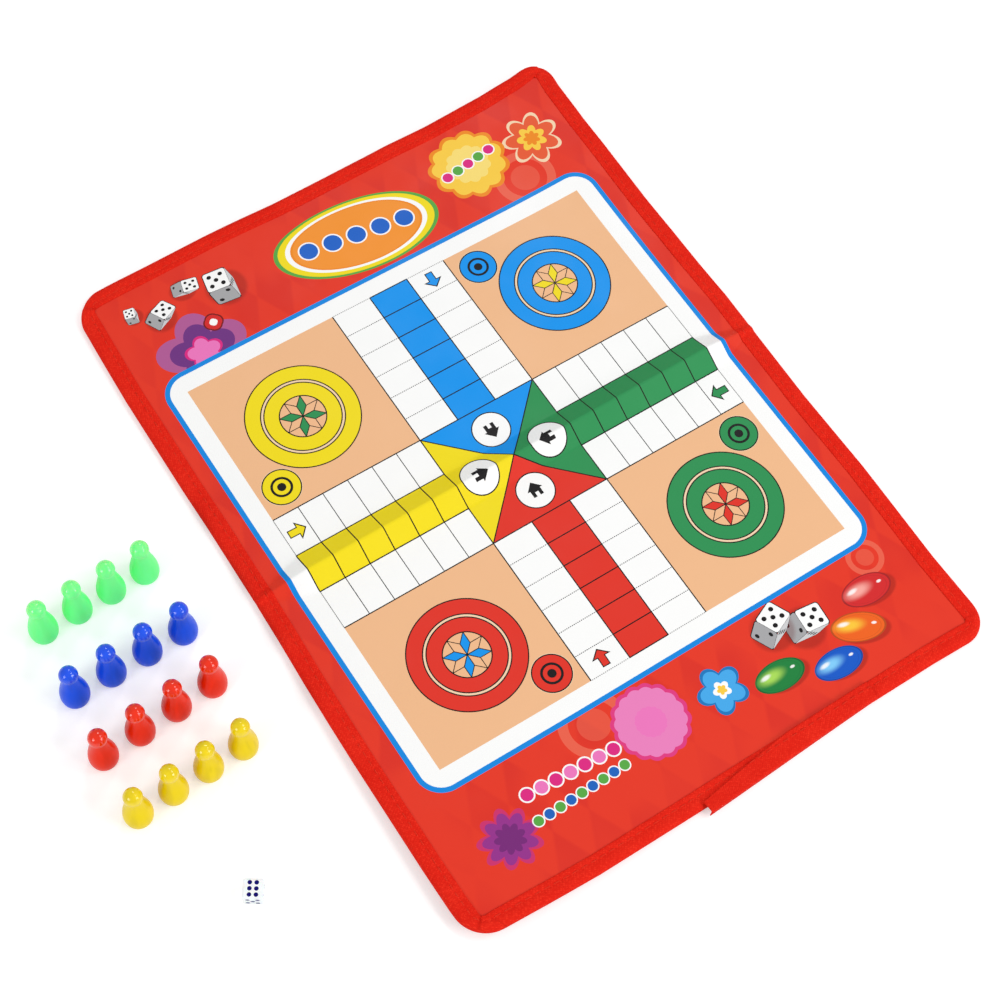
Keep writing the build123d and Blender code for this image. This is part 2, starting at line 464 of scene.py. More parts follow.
def star_group():
    """Tinted and Lines of a star whose tips lie at distance 1, for a place from its middle."""
    gives = {"Tinted": Number, "Lines": Number}
    tree, (place,), result = new_group("star_of_kites", {"Place": Place}, gives)
    eighth = math.pi / 4
    radius = place.distance()
    turns = (place.axis(1).math("ARCTAN2", place.axis(0)) + (8 * math.pi - eighth / 2)) / eighth
    number = turns.math("ROUND")
    angle = (turns - number).size() * eighth
    along = radius * angle.math("COSINE")
    across = radius * angle.math("SINE")
    slope = math.tan(eighth / 2)
    edge = (along - 1) * slope + across
    inside = edge.below(0)
    spoke = (along * math.sin(eighth / 2) - across * math.cos(eighth / 2)).size()
    every_other = (number * 0.5).math("FRACT").above(0.25)
    feed(tree, result["Tinted"], every_other * inside)
    feed(tree, result["Lines"], edge.near(0, STAR_LINE).most(spoke.below(STAR_LINE) * inside))
    return tree


star_of_kites = star_group()


# %% [markdown]
# The pattern itself. along and across measure a point from the middle of the board in its own arm,
# whichever of the four that is, and out and side measure it in its own corner field.


# %% The ludo pattern
def ludo_group():
    tree, (place,), result = new_group("ludo_pattern", {"Place": Place}, {"Colour": Colour})
    x, y = place.axis(0), place.axis(1)
    width, depth = x.size(), y.size()
    right, far = x.above(0), y.above(0)
    upright = depth.above(width)
    along, across = width.most(depth), width.least(depth)
    same = (x * y).above(0)
    side = same.choose(width, depth)
    out = same.choose(depth, width)

    # the four arms and the four fields, each in its colour
    near_far = over(tree, red, far, blue)
    left_right = over(tree, yellow, right, green)
    arm_ink = over(tree, left_right, upright, near_far)
    field_ink = over(tree, over(tree, red, right, green), far, over(tree, yellow, right, blue))
    star_ink = over(tree, over(tree, blue, right, red), far, over(tree, green, right, yellow))

    # corner fields, with a rose and a starting disc
    corner = place_of(tree, side, out)
    colour = over(tree, white, across.above(ARM_HALF), peach)
    from_rose = corner.distance(ROSE_MIDDLE, ROSE_MIDDLE)
    outer, band, inner, heart = ROSE_RINGS
    colour = colour.under(
        (from_rose.below(outer), field_ink),
        (from_rose.below(band), cream),
        (from_rose.below(inner), field_ink),
        (from_rose.below(heart), peach),
    )
    across_rose = right.choose(x - ROSE_MIDDLE, x + ROSE_MIDDLE) / heart
    up_rose = far.choose(y - ROSE_MIDDLE, y + ROSE_MIDDLE) / heart
    star = place_group(tree, star_of_kites, Place=place_of(tree, across_rose, up_rose))
    in_heart = from_rose.below(heart)
    colour = colour.under(
        (star["Tinted"] * in_heart, star_ink),
        (star["Lines"] * in_heart, dark_line),
    )
    for ring in ROSE_RINGS:
        colour = colour.under((from_rose.near(ring, LINE), dark_line))
    from_start = corner.distance(START_ACROSS, START_ALONG)
    colour = colour.under(
        (from_start.below(START_RADIUS + START_HALO), cream),
        (from_start.below(START_RADIUS), field_ink),
        (from_start.near(START_RADIUS, LINE), dark_line),
        (from_start.near(*TARGET_RING), black),
        (from_start.below(TARGET_DOT), black),
    )

    # arms: a coloured column between two rows of white cells
    outside_home = along.above(ARM_HALF)
    in_arm = across.below(ARM_HALF) * outside_home
    in_column = across.below(COLUMN_HALF) * outside_home
    cell = ((along - ARM_HALF) / CELL + 0.5).math("FRACT") - 0.5
    thin_line = cell.size().below(THIN_LINE / CELL) * in_arm
    bold_line = cell.size().below(LINE / CELL) * in_column
    dots = (across / DOT_PITCH).math("FRACT").above(DOT_GAP)
    colour = colour.under(
        (in_column, arm_ink),
        (thin_line * dots.most(upright.flip()), grey_line),
        (bold_line, dark_line),
    )
    edges = across.near(COLUMN_HALF, LINE).most(across.near(ARM_HALF, LINE)) * outside_home
    colour = colour.under((edges, dark_line))

    # the arrow beside each starting disc points at the middle: its outline, then its filling
    arrow = corner.seen_from(ARROW_ACROSS, ARROW_ALONG, ARROW_TURN, (ARROW_SCALE, ARROW_SCALE))
    tip, wing = arrow.axis(1) + 3.9, arrow.axis(0).size()
    head = wing.below(tip * 1.1) * tip.below(3.4)
    stem = wing.below(1.55) * tip.near(5.2, 1.85)
    head_edge = wing.below(tip * 1.1 - 0.65) * tip.near(1.9, 1.15)
    stem_edge = wing.below(1.17) * tip.near(4.8, 1.88)
    colour = colour.under(
        (head.most(stem), dark_line),
        (head_edge.most(stem_edge), arm_ink),
    )

    # home: four triangles, each with a white disc that holds a small house
    home = along.below(ARM_HALF)
    colour = colour.under((home, arm_ink))
    disc = place_of(tree, along - HOME_ALONG, across)
    from_disc = disc.distance()
    in_disc = from_disc.below(HOME_RADIUS) * home
    colour = colour.under(
        (in_disc, white),
        (from_disc.near(HOME_RADIUS, LINE) * home, dark_line),
    )
    height = (along - HOME_ALONG) * -1
    walls = across.below(2.4) * height.near(-1.2, 1.7)
    roof = across.below((height * -1 + 4.2) * 0.95) * height.near(2.3, 1.9)
    door = across.below(0.8) * height.near(-1.9, 1.1)
    colour = colour.under(((walls.most(roof) - door).most(0) * home, black))
    borders = along.near(ARM_HALF, LINE) * across.below(ARM_HALF)
    borders = borders.most((along - across).below(LINE * 1.4) * home)
    colour = colour.under((borders, dark_line))

    # the pattern ends in the white panel
    panel = along.below(PATTERN_HALF)
    end_line = along.near(PATTERN_HALF, LINE) * across.below(ARM_HALF) * dots
    colour = over(tree, white, panel, colour).under((end_line * 0.35, grey_line))
    colour = colour.under((along.near(PATTERN_HALF, LINE) * in_column, dark_line))
    feed(tree, result["Colour"], colour)
    return tree


ludo_pattern = ludo_group()

# %% [markdown]
# The ends of the board carry small printed pictures. Rosettes, counters and dice are drawn by one
# group each, in units of the picture's own size, and then placed several times.


# %% Pictures: rosettes and counters
def rosette_group():
    """Level is 0 in the middle and 1 at the edge of a round shape with petals."""
    takes = {"Place": Place, "Petals": Number, "Depth": Number}
    tree, (place, petals, depth), result = new_group("rosette", takes, {"Level": Number})
    angle = place.axis(1).math("ARCTAN2", place.axis(0))
    petal = ((angle * petals).math("COSINE") + 1) * 0.5
    feed(tree, result["Level"], place.distance() / ((petal.math("SQRT") - 1) * depth + 1))
    return tree


def counter_group():
    """A glossy oval counter with its shadow: Mask says how far it covers what is under it."""
    takes = {"Place": Place, "Colour": Colour, "Light": Colour}
    gives = {"Picture": Colour, "Mask": Number}
    tree, (place, colour, light), result = new_group("counter", takes, gives)
    from_middle = place.distance()
    inside = from_middle.below(1)
    rim = over(tree, colour, 0.45, black)
    face = over(tree, rim, from_middle.below(0.93), colour)
    face = face.under(
        (from_middle.ramp(0.84, 0.8, 0, 0.55), rim),
        (from_middle.below(0.8), colour),
    )
    glow = place.seen_from(-0.3, 0.18, 10, (0.75, 0.6)).distance()
    face = face.under((glow.ramp(1.0, 0.2), light))
    shine = place.seen_from(-0.5, 0.3, 20, (0.3, 0.2)).distance()
    face = face.under((shine.ramp(1.0, 0.3, 0, 0.85), white))
    spark = place.distance(0.58, 0.12)
    face = face.under((spark.ramp(0.12, 0.06, 0, 0.9), white))
    shadow = place.distance(0.17, -0.2).ramp(1.05, 0.9, 0, 0.45)
    feed(tree, result["Picture"], over(tree, ink(120, 20, 15), inside, face))
    feed(tree, result["Mask"], inside.most(shadow))
    return tree


rosette = rosette_group()
counter = counter_group()


# %% [markdown]
# A drawn die shows three faces. Each face is a square seen askew, so a point is first written in
# lengths of that face's two edges, and the pips are then plain discs.


# %% Pictures: dice
DIE_FACES = (  # the two edges of each face, its paint, whether it has a middle pip, and all four others
    ((0.98, 0.26), (-0.3, 0.95), white, True, True),
    ((-0.3, 0.95), (-0.62, -0.38), shade_grey, False, False),
    ((0.98, 0.26), (-0.62, -0.38), ink(208, 208, 210), True, False),
)
DIE_CORNER = (-0.02, -0.26, 0)  # where the three faces meet
PIP_RADIUS = 0.1
PIP_PLACE = 0.25  # how far a corner pip lies from the middle of its face, on both axes
ROUNDING = (0.38, 0.11, 0.15)  # where a face's rounded corners begin, their radius, and the outline's


def die_group():
    """A die with three faces in sight: Mask says how far it covers what is under it."""
    tree, (place,), result = new_group("drawn_die", {"Place": Place}, {"Picture": Colour, "Mask": Number})
    from_corner = place.moved("SUBTRACT", DIE_CORNER)
    picture = black
    masks = []
    straight, radius, outline = ROUNDING
    for (ax, ay), (bx, by), paint, middle_pip, four_pips in DIE_FACES:
        area = ax * by - ay * bx
        across = from_corner.along(by / area, -bx / area) - 0.5
        up = from_corner.along(-ay / area, ax / area) - 0.5
        face = place_of(tree, across, up)
        folded = face.moved("ABSOLUTE")
        edge = folded.moved("SUBTRACT", (straight, straight, 0)).moved("MAXIMUM").distance()
        marks = folded.distance(PIP_PLACE, PIP_PLACE).below(PIP_RADIUS)
        if not four_pips:
            marks = marks * (across * up).above(0)
        if middle_pip:
            marks = marks.most(face.distance().below(PIP_RADIUS))
        painted = over(tree, paint, marks, black)
        picture = over(tree, picture, edge.below(radius), painted)
        masks.append(edge.below(outline))
    feed(tree, result["Picture"], picture)
    feed(tree, result["Mask"], masks[0].most(masks[1]).most(masks[2]))
    return tree


drawn_die = die_group()

# %% [markdown]
# Where each picture lies on the sheet, in millimetres from the middle of the board. The far end, with
# the positive numbers, has the large badge, and the near end has the row of counters.

# %% Where the pictures lie, in millimetres on the sheet
COUNTERS = (  # middle, turn in degrees, half length, colour, light
    ((90.5, -127.0), -3, 11.6, ink(214, 42, 44), ink(250, 170, 160)),
    ((77.5, -138.5), -22, 11.8, ink(240, 100, 28), ink(252, 200, 60)),
    ((61.0, -147.0), -2, 11.2, ink(18, 90, 200), ink(130, 205, 250)),
    ((37.5, -138.5), -2, 11.4, ink(30, 130, 62), ink(170, 220, 90)),
)
DICE = (  # middle, turn in degrees, length of an edge
    ((59.5, -127.0), -22, 10.5),
    ((47.5, -120.5), 8, 10.5),
    ((-60.0, 138.5), 66, 10.5),
    ((-76.0, 146.5), -30, 7.0),
    ((-91.0, 138.5), 10, 8.0),
    ((-102.0, 146.0), 60, 5.5),
)
# Middle, turn in degrees, half size, petals and their depth, then level and colour from the outside in.
ROSETTES = (
    ((-84.0, 113.0), 12, 21.0, 5, 0.3, ((1.0, mauve), (0.72, deep_purple), (0.42, magenta), (0.36, pink))),
    ((98.0, 134.0), 8, 14.0, 7, 0.35, ((1.0, cream), (0.88, ink(232, 92, 52)), (0.5, gold), (0.28, orange))),
    ((66.0, 138.0), 0, 19.0, 11, 0.12, ((1.0, orange), (0.9, gold), (0.55, ink(250, 222, 120)))),
    ((-18.0, -127.0), 20, 16.5, 16, 0.06, ((1.0, ink(225, 60, 130)), (0.9, ink(236, 130, 190)), (0.4, pink))),
    ((14.0, -131.0), 30, 11.0, 5, 0.35,
     ((1.0, ink(28, 120, 190)), (0.86, sky_blue), (0.36, white), (0.2, gold))),
    ((-92.0, -138.0), 0, 13.0, 9, 0.3, ((1.0, ink(205, 50, 110)), (0.84, purple), (0.5, ink(120, 40, 120)))),
    ((-73.5, 124.5), 0, 4.6, 4, 0.1, ((1.0, ink(120, 20, 20)), (0.85, ink(215, 40, 40)), (0.4, white))),
)
RINGS = (((84.0, 118.0), 12.0), ((-38.0, -116.0), 12.5), ((99.0, -115.0), 7.0))  # middle, radius
BEADS = (  # middle, turn, pitch, number of beads, first and second colour
    ((-57.0, -127.5), -3, 6.6, 7, magenta, pink),
    ((-58.0, -137.0), 2, 5.2, 9, leaf_green, ink(30, 100, 190)),
    ((66.0, 138.0), 8, 6.0, 5, magenta, leaf_green),
)
COUNTER_SQUASH = 0.56  # half width of a counter to its half length
BADGE = ((3.0, 131.5), -8, (39.0, 19.5))  # middle, turn, half length and half width
BADGE_RINGS = ((1.0, leaf_green), (0.95, yellow), (0.86, white), (0.8, orange), (0.77, ink(246, 150, 50)))
SPOT_PITCH = 11.5
SPOT_COUNT = 5
SPOT_RINGS = ((0.42, white), (0.36, ink(30, 100, 200)))


# %% [markdown]
# Now the whole print, in layers, as ink would be laid: the red ground, the pictures at the ends, and
# then the white panel with its blue edge and the ludo pattern on it.


# %% Layers: ground and flowers
def row_of_discs(local, count):
    """For discs 1 apart along a row: the distance from the nearest middle, and how far along it is."""
    along = local.axis(0) + count / 2
    return place_of(local.tree, along.math("FRACT") - 0.5, local.axis(1)).distance(), along


def print_ground(tree, place):
    """The red ground, with large soft lozenges."""
    stagger = place.seen_from(0, 0, 0, (17, 36))
    lozenge = (stagger.axis(0).math("FRACT") - 0.5).size() + (stagger.axis(1).math("FRACT") - 0.5).size()
    cloud = noise(tree, place, 0.03, 1)
    return over(tree, field_red, lozenge.ramp(0.56, 0.44, 0, 0.5) * cloud.ramp(0.36, 0.6), field_dark)


def print_flowers(colour, place):
    """Pale rings, flowers, rows of beads, and the badge with its row of spots."""
    for (x, y), radius in RINGS:
        ring = place.distance(x, y)
        colour = colour.under(
            (ring.near(radius, radius * 0.17) * 0.75, salmon),
            (ring.below(radius * 0.55) * 0.45, salmon),
        )
    for (x, y), turn, size, petals, depth, levels in ROSETTES:
        local = place.seen_from(x, y, turn, (size, size))
        level = place_group(colour.tree, rosette, Place=local, Petals=petals, Depth=depth)["Level"]
        for limit, paint in levels:
            colour = colour.under((level.below(limit), paint))
    for (x, y), turn, pitch, count, first, second in BEADS:
        bead, along = row_of_discs(place.seen_from(x, y, turn, (pitch, pitch)), count)
        in_row = along.near(count / 2, count / 2)
        every_other = (along.math("FLOOR") * 0.5).math("FRACT").above(0.25)
        colour = colour.under(
            (bead.below(0.5) * in_row, white),
            (bead.below(0.4) * in_row, over(colour.tree, first, every_other, second)),
        )
    (x, y), turn, size = BADGE
    from_badge = place.seen_from(x, y, turn, size).distance()
    for limit, paint in BADGE_RINGS:
        colour = colour.under((from_badge.below(limit), paint))
    spots = place.seen_from(x, y, turn, (SPOT_PITCH, SPOT_PITCH))
    from_spot, _ = row_of_discs(spots, SPOT_COUNT)
    in_row = spots.axis(0).size().below(SPOT_COUNT / 2)
    for limit, paint in SPOT_RINGS:
        colour = colour.under((from_spot.below(limit) * in_row, paint))
    return colour


# %% Layers: counters, dice and panel
def print_counters(colour, place):
    for (x, y), turn, half, paint, light in COUNTERS:
        local = place.seen_from(x, y, turn, (half, half * COUNTER_SQUASH))
        drawn = place_group(colour.tree, counter, Place=local, Colour=paint, Light=light)
        colour = colour.under((drawn["Mask"], drawn["Picture"]))
    return colour


def print_dice(colour, place):
    for (x, y), turn, edge in DICE:
        shadow = place.seen_from(x, y, turn, (edge * 0.95, edge * 0.95)).distance(-0.1, -0.05)
        colour = colour.under((shadow.ramp(1.05, 0.8, 0, 0.4), ink(110, 20, 16)))
        drawn = place_group(colour.tree, drawn_die, Place=place.seen_from(x, y, turn, (edge, edge)))
        colour = colour.under((drawn["Mask"], drawn["Picture"]))
    return colour


def print_panel(colour, place):
    """A rounded square, blue at its edge, that holds the ludo pattern."""
    straight = BORDER_HALF - BORDER_RADIUS
    corner = place.moved("ABSOLUTE").moved("SUBTRACT", (straight, straight, 0)).moved("MAXIMUM")
    from_edge = corner.distance() - BORDER_RADIUS
    colour = colour.under((from_edge.below(0), border_blue))
    pattern = place_group(colour.tree, ludo_pattern, Place=place)["Colour"]
    return colour.under((from_edge.below(-BORDER_WIDTH), pattern))


def face_print_group():
    tree, (place,), result = new_group("face_print", {"Place": Place}, {"Colour": Colour})
    colour = print_flowers(print_ground(tree, place), place)
    colour = print_dice(print_counters(colour, place), place)
    feed(tree, result["Colour"], print_panel(colour, place))
    return tree


face_print = face_print_group()
print(sum(len(group.nodes) for group in bpy.data.node_groups), "nodes draw the print")

# %% [markdown]
# The print lies under a satin film. The film takes up a little of the weave and of the glue beneath
# it, which shows only in reflections, as a soft unevenness.

# %% Material: printed face
printed_face, tree, shader = new_material("printed_face", Roughness=0.42, Specular_IOR_Level=0.16)
place = sheet_place(tree)
feed(tree, shader.inputs["Base Color"], place_group(tree, face_print, Place=place)["Colour"])
swell = noise(tree, place, 0.035, 2)
grain = noise(tree, place, 1.3, 2)
feed(tree, shader.inputs["Roughness"], swell.ramp(0.3, 0.7, 0.36, 0.48))
bump(tree, shader, swell + grain * 0.02, 0.6 * MM)

# %% [markdown]
# ## The sheets of the board
# Both outer sheets are one piece each and bend over the fold, so they are meshes of their own in place
# of the CAD halves. Rows of points run across the board: far apart on the flats, and close together at
# the fold and round the corners. Each point keeps its place on the flat sheet, so that the print stays
# where it is as the sheet bends.

# %% The board's surface
RIDGE_RISE = 4.8 * MM
RIDGE_HALF = 9.0 * MM
FOOT_RADIUS = 4.0 * MM
CREST_RADIUS = 1.6 * MM
RIDGE_TAPER = 28 * MM  # beside the left and right edges the ridge gets lower and narrower
RIDGE_END = 0.23  # and this share of it is left at the edge
ridge_slope = math.atan2(RIDGE_RISE, RIDGE_HALF)


def fade(value, start, end):
    """0 before start and 1 after end, with a smooth step between them."""
    share = np.clip((value - start) / (end - start), 0, 1)
    return share * share * (3 - 2 * share)


def ridge(x, y):
    """Height of the soft ridge over the flat face, which shrinks towards the left and right edges."""
    share = 1 - (1 - RIDGE_END) * fade(np.abs(x), half_width - RIDGE_TAPER, half_width)
    y = np.abs(y) / share
    foot_end = RIDGE_HALF + FOOT_RADIUS * math.tan(ridge_slope / 2)
    foot_start = foot_end - FOOT_RADIUS * math.sin(ridge_slope)
    slope = RIDGE_RISE * (1 - y / RIDGE_HALF)
    crest_end = CREST_RADIUS * math.sin(ridge_slope)
    crest_middle = RIDGE_RISE - CREST_RADIUS / math.cos(ridge_slope)
    crest = crest_middle + np.sqrt(np.maximum(CREST_RADIUS**2 - y**2, 0))
    foot = FOOT_RADIUS - np.sqrt(np.maximum(FOOT_RADIUS**2 - (y - foot_end) ** 2, 0))
    height = np.where(y < crest_end, crest, slope)
    height = np.where(y > foot_start, foot, height)
    return np.where(y > foot_end, 0.0, height) * share


SWAY = 0.09 * MM
WAVES = ((31, 17, 1.0, 1.0), (-23, 29, 2.3, 1.0), (61, -13, 0.0, 0.6))  # radians a metre, start, share


def sway(x, y):
    """The small rise and fall of a padded sheet that isn't quite flat. It never goes below 0."""
    wave = sum(share * np.sin(in_x * x + in_y * y + start) for in_x, in_y, start, share in WAVES)
    return SWAY * (wave + sum(share for *_, share in WAVES))


CORNER_LIFTS = (3.4 * MM, 4.2 * MM)  # near left and far right


def curl(x, y):
    """The board doesn't lie quite flat: its near left and far right corners stand off the floor a little."""
    near_left, far_right = CORNER_LIFTS
    lifted_left = fade(-x / half_width - 0.9 * y / half_length, 0.75, 1.9) * near_left
    lifted_right = fade(x / half_width + y / half_length, 1.15, 2.0) * far_right
    return lifted_left + lifted_right


def padded(base):
    """Heights of a layer at base that follows the ridge, the padding and the curl of the corners."""
    return lambda x, y: base + ridge(x, y) + sway(x, y) + curl(x, y)


def curled(base):
    """Heights of a flat layer at base that follows the curl of the corners alone."""
    return lambda x, y: base + curl(x, y)


# %% [markdown]
# The edge was cut by hand and strays from a true rectangle by up to some three millimetres. Each table
# follows one side. Only the outer part of a sheet moves with it, so that the printed panel stays square.

# %% The edge as it was cut
# place along the side, and how far out the edge lies there, in millimetres
STRAY_LEFT = (
    (-167, 0.8), (-150, 1.7), (-130, 1.95), (-80, 1.75), (-60, 1.4), (-40, 0.85), (-20, 0.05), (0, -0.45),
    (40, -0.8), (60, -0.6), (110, -0.95), (130, -1.65), (147, -2.3), (158, -2.6), (167, -2.9),
)
STRAY_RIGHT = (
    (-167, 0.6), (-158, -0.3), (-130, -0.85), (-100, -0.1), (-80, 0.35), (-40, -0.2), (0, 0.6), (20, 1.0),
    (40, 0.45), (60, 0.15), (80, -0.4), (115, -0.3), (130, -0.5), (150, 0.0), (160, 1.2), (167, 2.0),
)
STRAY_NEAR = (
    (-125, -1.6), (-112, -1.8), (-95, -0.85), (-85, -0.4), (-70, 0.15), (-20, 0.0), (60, -0.15), (95, -0.05),
    (110, 0.4), (125, 1.2),
)
STRAY_FAR = (
    (-125, -3.7), (-118, -3.0), (-112, -2.5), (-106, -2.3), (-99, -2.15), (-85, -2.05), (-55, -1.45),
    (-40, -1.55), (-20, -2.1), (0, -1.75), (20, -1.25), (40, -1.0), (60, -1.8), (90, -1.35), (107, -0.1),
    (116, 1.6), (125, 2.8),
)
PANEL_ENDS = (112 * MM, 135 * MM)  # past the panel's ends more of the sheet's width may move


def stray(table, along):
    places, steps = zip(*table)
    return np.interp(along / MM, places, steps) * MM


def strayed(x, y):
    """Where a point of a true rectangle lies on the board as it was cut. The printed panel doesn't move."""
    beyond_panel = fade(np.abs(y), *PANEL_ENDS)
    side = fade(np.abs(x), (0.9 - 0.12 * beyond_panel) * half_width, 0.935 * half_width)
    end = fade(np.abs(y), 0.82 * half_length, 0.94 * half_length)
    out_x = np.where(x < 0, -stray(STRAY_LEFT, y), stray(STRAY_RIGHT, y)) * side
    out_y = np.where(y < 0, -stray(STRAY_NEAR, x), stray(STRAY_FAR, x)) * end
    return x + out_x, y + out_y


# %% Making a sheet
def stations(half, coarse, fine, zones):
    """Places from -half to half, close together inside the zones (start, end) and far apart elsewhere."""
    found = [-half]
    while found[-1] < half:
        here = abs(found[-1] + fine / 2)
        close = any(start <= here <= end for start, end in zones)
        found.append(min(found[-1] + (fine if close else coarse), half))
    return np.array(found)


def keep_flat_places(mesh, places):
    """Stores where each point lies on the flat sheet, in millimetres."""
    attribute = mesh.attributes.new("flat", "FLOAT_VECTOR", "POINT")
    attribute.data.foreach_set("vector", np.asarray(places, np.float32).ravel())


def new_piece(name, vertices, faces, material):
    mesh = bpy.data.meshes.new(name)
    mesh.from_pydata([tuple(v) for v in vertices], [], faces)
    mesh.materials.append(material)
    mesh.shade_smooth()
    piece = bpy.data.objects.new(name, mesh)
    bpy.context.scene.collection.objects.link(piece)
    return piece


def closed_faces(rows, columns):
    """Faces of a grid of points laid twice, above and below, and closed all round its rim."""
    count = rows * columns
    faces = []
    for i in range(rows - 1):
        for j in range(columns - 1):
            a = i * columns + j
            b = a + columns
            faces.append((a, a + 1, b + 1, b))
            faces.append((count + a, count + b, count + b + 1, count + a + 1))
    rim = list(range(columns))
    rim += [(i + 1) * columns - 1 for i in range(1, rows)]
    rim += [(rows - 1) * columns + j for j in range(columns - 2, -1, -1)]
    rim += [i * columns for i in range(rows - 2, 0, -1)]
    for here, after in zip(rim, rim[1:] + rim[:1]):
        faces.append((here, count + here, count + after, after))
    return faces


def sheet_piece(name, inset, rows, column_count, top, low, material):
    """A closed thin sheet with the board's rounded outline. top and low give heights from x and y."""
    arc = corner_radius - inset
    run = np.clip(np.abs(rows) - (half_length - corner_radius), 0, arc)
    reach_x = half_width - corner_radius + np.sqrt(np.maximum(arc**2 - run**2, 0))
    x = np.outer(reach_x, np.linspace(-1, 1, column_count))
    y = np.repeat(rows[:, None], column_count, axis=1)
    upper = np.stack([x, y, top(x, y)], -1).reshape(-1, 3)
    lower = np.stack([x, y, low(x, y)], -1).reshape(-1, 3)
    flat = np.stack([x, y, 0 * x], -1).reshape(-1, 3) / MM
    points = np.concatenate([upper, lower])
    points[:, 0], points[:, 1] = strayed(points[:, 0], points[:, 1])
    piece = new_piece(name, points, closed_faces(len(rows), column_count), material)
    keep_flat_places(piece.data, np.concatenate([flat, flat]))
    print(name, len(points), "points")
    return piece


# %% Printed face
face_inset = 1.2 * MM
end_zone = (half_length - corner_radius, half_length)
face_rows = stations(half_length - face_inset, 3 * MM, 0.5 * MM, [(0, 14 * MM), end_zone])
face = sheet_piece(
    "printed_face", face_inset, face_rows, 101, padded(face_top), padded(face_low), printed_face
)
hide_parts("near_face_sheet", "far_face_sheet", "near_fold_ridge", "far_fold_ridge")
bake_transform(face)

# %% [markdown]
# The back is the red cloth itself, and the edge tape is the same cloth. It is a non-woven: short fibres
# pressed together by a heated roller, which leaves rows of tiny lozenges about a millimetre apart.
# They are what tells it from felt or paper, so they are in its relief, and in its colour as painted shade:
# the pillows are painted lighter and the pressed lines darker.


# %% Material: red non-woven cloth
EMBOSS_PITCH = 0.92


def cloth_group():
    """Height of pressed non-woven cloth, and its own tone with painted shade of its pillows, for a place in
    millimetres.
    """
    gives = {"Height": Number, "ToneAndPaintedShade": Number}
    tree, (place,), result = new_group("pressed_cloth", {"Place": Place}, gives)
    slanted = place.seen_from(0, 0, 45, (EMBOSS_PITCH, EMBOSS_PITCH))
    dent = place_of(tree, slanted.axis(0).math("FRACT") - 0.5, slanted.axis(1).math("FRACT") - 0.5)
    folded = dent.moved("ABSOLUTE")
    lozenge = folded.axis(0).most(folded.axis(1))
    pillow = lozenge.ramp(0.5, 0.22)
    fibres = noise(tree, place, 2.6, 3)
    patches = noise(tree, place, 0.09, 2)
    speckle = noise(tree, place, 0.9, 2).ramp(0.42, 0.62)
    feed(tree, result["Height"], pillow * 0.7 + fibres * 0.5)
    # In the colour the pillows are painted shade: lighter where they puff up, darker at the pressed lines.
    # Fibres and patches are the cloth's own tone.
    feed(tree, result["ToneAndPaintedShade"], pillow * speckle * 0.3 + fibres * 0.3 + patches * 0.35)
    return tree


pressed_cloth = cloth_group()


def cloth_material(name, dark, light):
    material, tree, shader = new_material(name, Roughness=0.8, Specular_IOR_Level=0.1)
    cloth = place_group(tree, pressed_cloth, Place=sheet_place(tree))
    feed(tree, shader.inputs["Base Color"], over(tree, dark, cloth["ToneAndPaintedShade"].ramp(0.2, 0.9), light))
    bump(tree, shader, cloth["Height"], 0.12 * MM, 0.8)
    return material


edge_tape = cloth_material("edge_tape", ink(225, 30, 14), ink(255, 56, 34))
backing = cloth_material("backing", ink(217, 27, 13), ink(249, 52, 31))

# %% Backing
back_inset = 1.0 * MM
back_rows = stations(half_length - back_inset, 4 * MM, 0.4 * MM, [(0, 4 * MM), end_zone])
back = sheet_piece(
    "backing", back_inset, back_rows, 61, curled(back_top), curled(0.1 * MM), backing
)
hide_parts("near_back_sheet", "far_back_sheet")
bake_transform(back)

# %% [markdown]
# ## Edge tape
# The tape is folded in half lengthwise round the edge and sewn through. Its section is a C with soft
# corners, and the C is swept round the rounded outline. Between two stitches the cloth puffs up, and at
# each corner it is folded over itself along the diagonal, which shows as a small step.

# %% Section and path of the tape
SEAM = 5.3 * MM  # stitch line to the outer edge
STITCH_PITCH = 4.2 * MM
SECTION_STEP = 0.84 * MM
POINTED = 9 * MM  # so far in from the edge the tape's corner would be a point
OUTSIDE = (  # distance in from the edge, and height, over the outer side of the tape
    (8.0, 3.30), (7.9, 3.54), (7.6, 3.64), (6.9, 3.68), (6.2, 3.66), (5.8, 3.56), (5.3, 3.44), (4.8, 3.56),
    (4.3, 3.68), (3.4, 3.74), (2.4, 3.68), (1.5, 3.50), (0.8, 3.18), (0.3, 2.68), (0.05, 2.1), (0.0, 1.6),
    (0.12, 1.0), (0.45, 0.45), (1.0, 0.12), (1.8, 0.0), (3.4, 0.0), (5.3, 0.0), (7.0, 0.0), (7.9, 0.02),
)
INSIDE = (  # and over its inner side, back to the start
    (8.0, 0.2), (7.9, 0.36), (5.3, 0.4), (1.9, 0.4), (1.2, 0.5), (0.75, 0.8), (0.5, 1.3), (0.42, 1.8),
    (0.5, 2.3), (0.8, 2.8), (1.3, 3.1), (2.4, 3.2), (5.3, 3.12), (7.9, 3.2),
)
CORNERS = np.array([(1, -1), (1, 1), (-1, 1), (-1, -1)])  # in the order in which the tape meets them


def tape_stations(step):
    """For each section of the tape: the corner it leads to, its share of the straight run, and its angle."""
    found = []
    lengths = [2 * half_width, 2 * half_length] * 2
    for corner in range(4):
        first = math.pi / 2 * (corner - 1)
        count = round((lengths[corner] - 2 * corner_radius) / step)
        found += [(corner, i / count, first) for i in range(count)]
        count = 2 * round(corner_radius * math.pi / 2 / step)
        found += [(corner, 1.0, first + math.pi / 2 * i / count) for i in range(count)]
    return found


def round_corner(inset):
    """The tape turns the corner in an arc at its outer edge and nearly in a point at its inner edge."""
    return corner_radius * max(1 - inset / POINTED, 0.05)


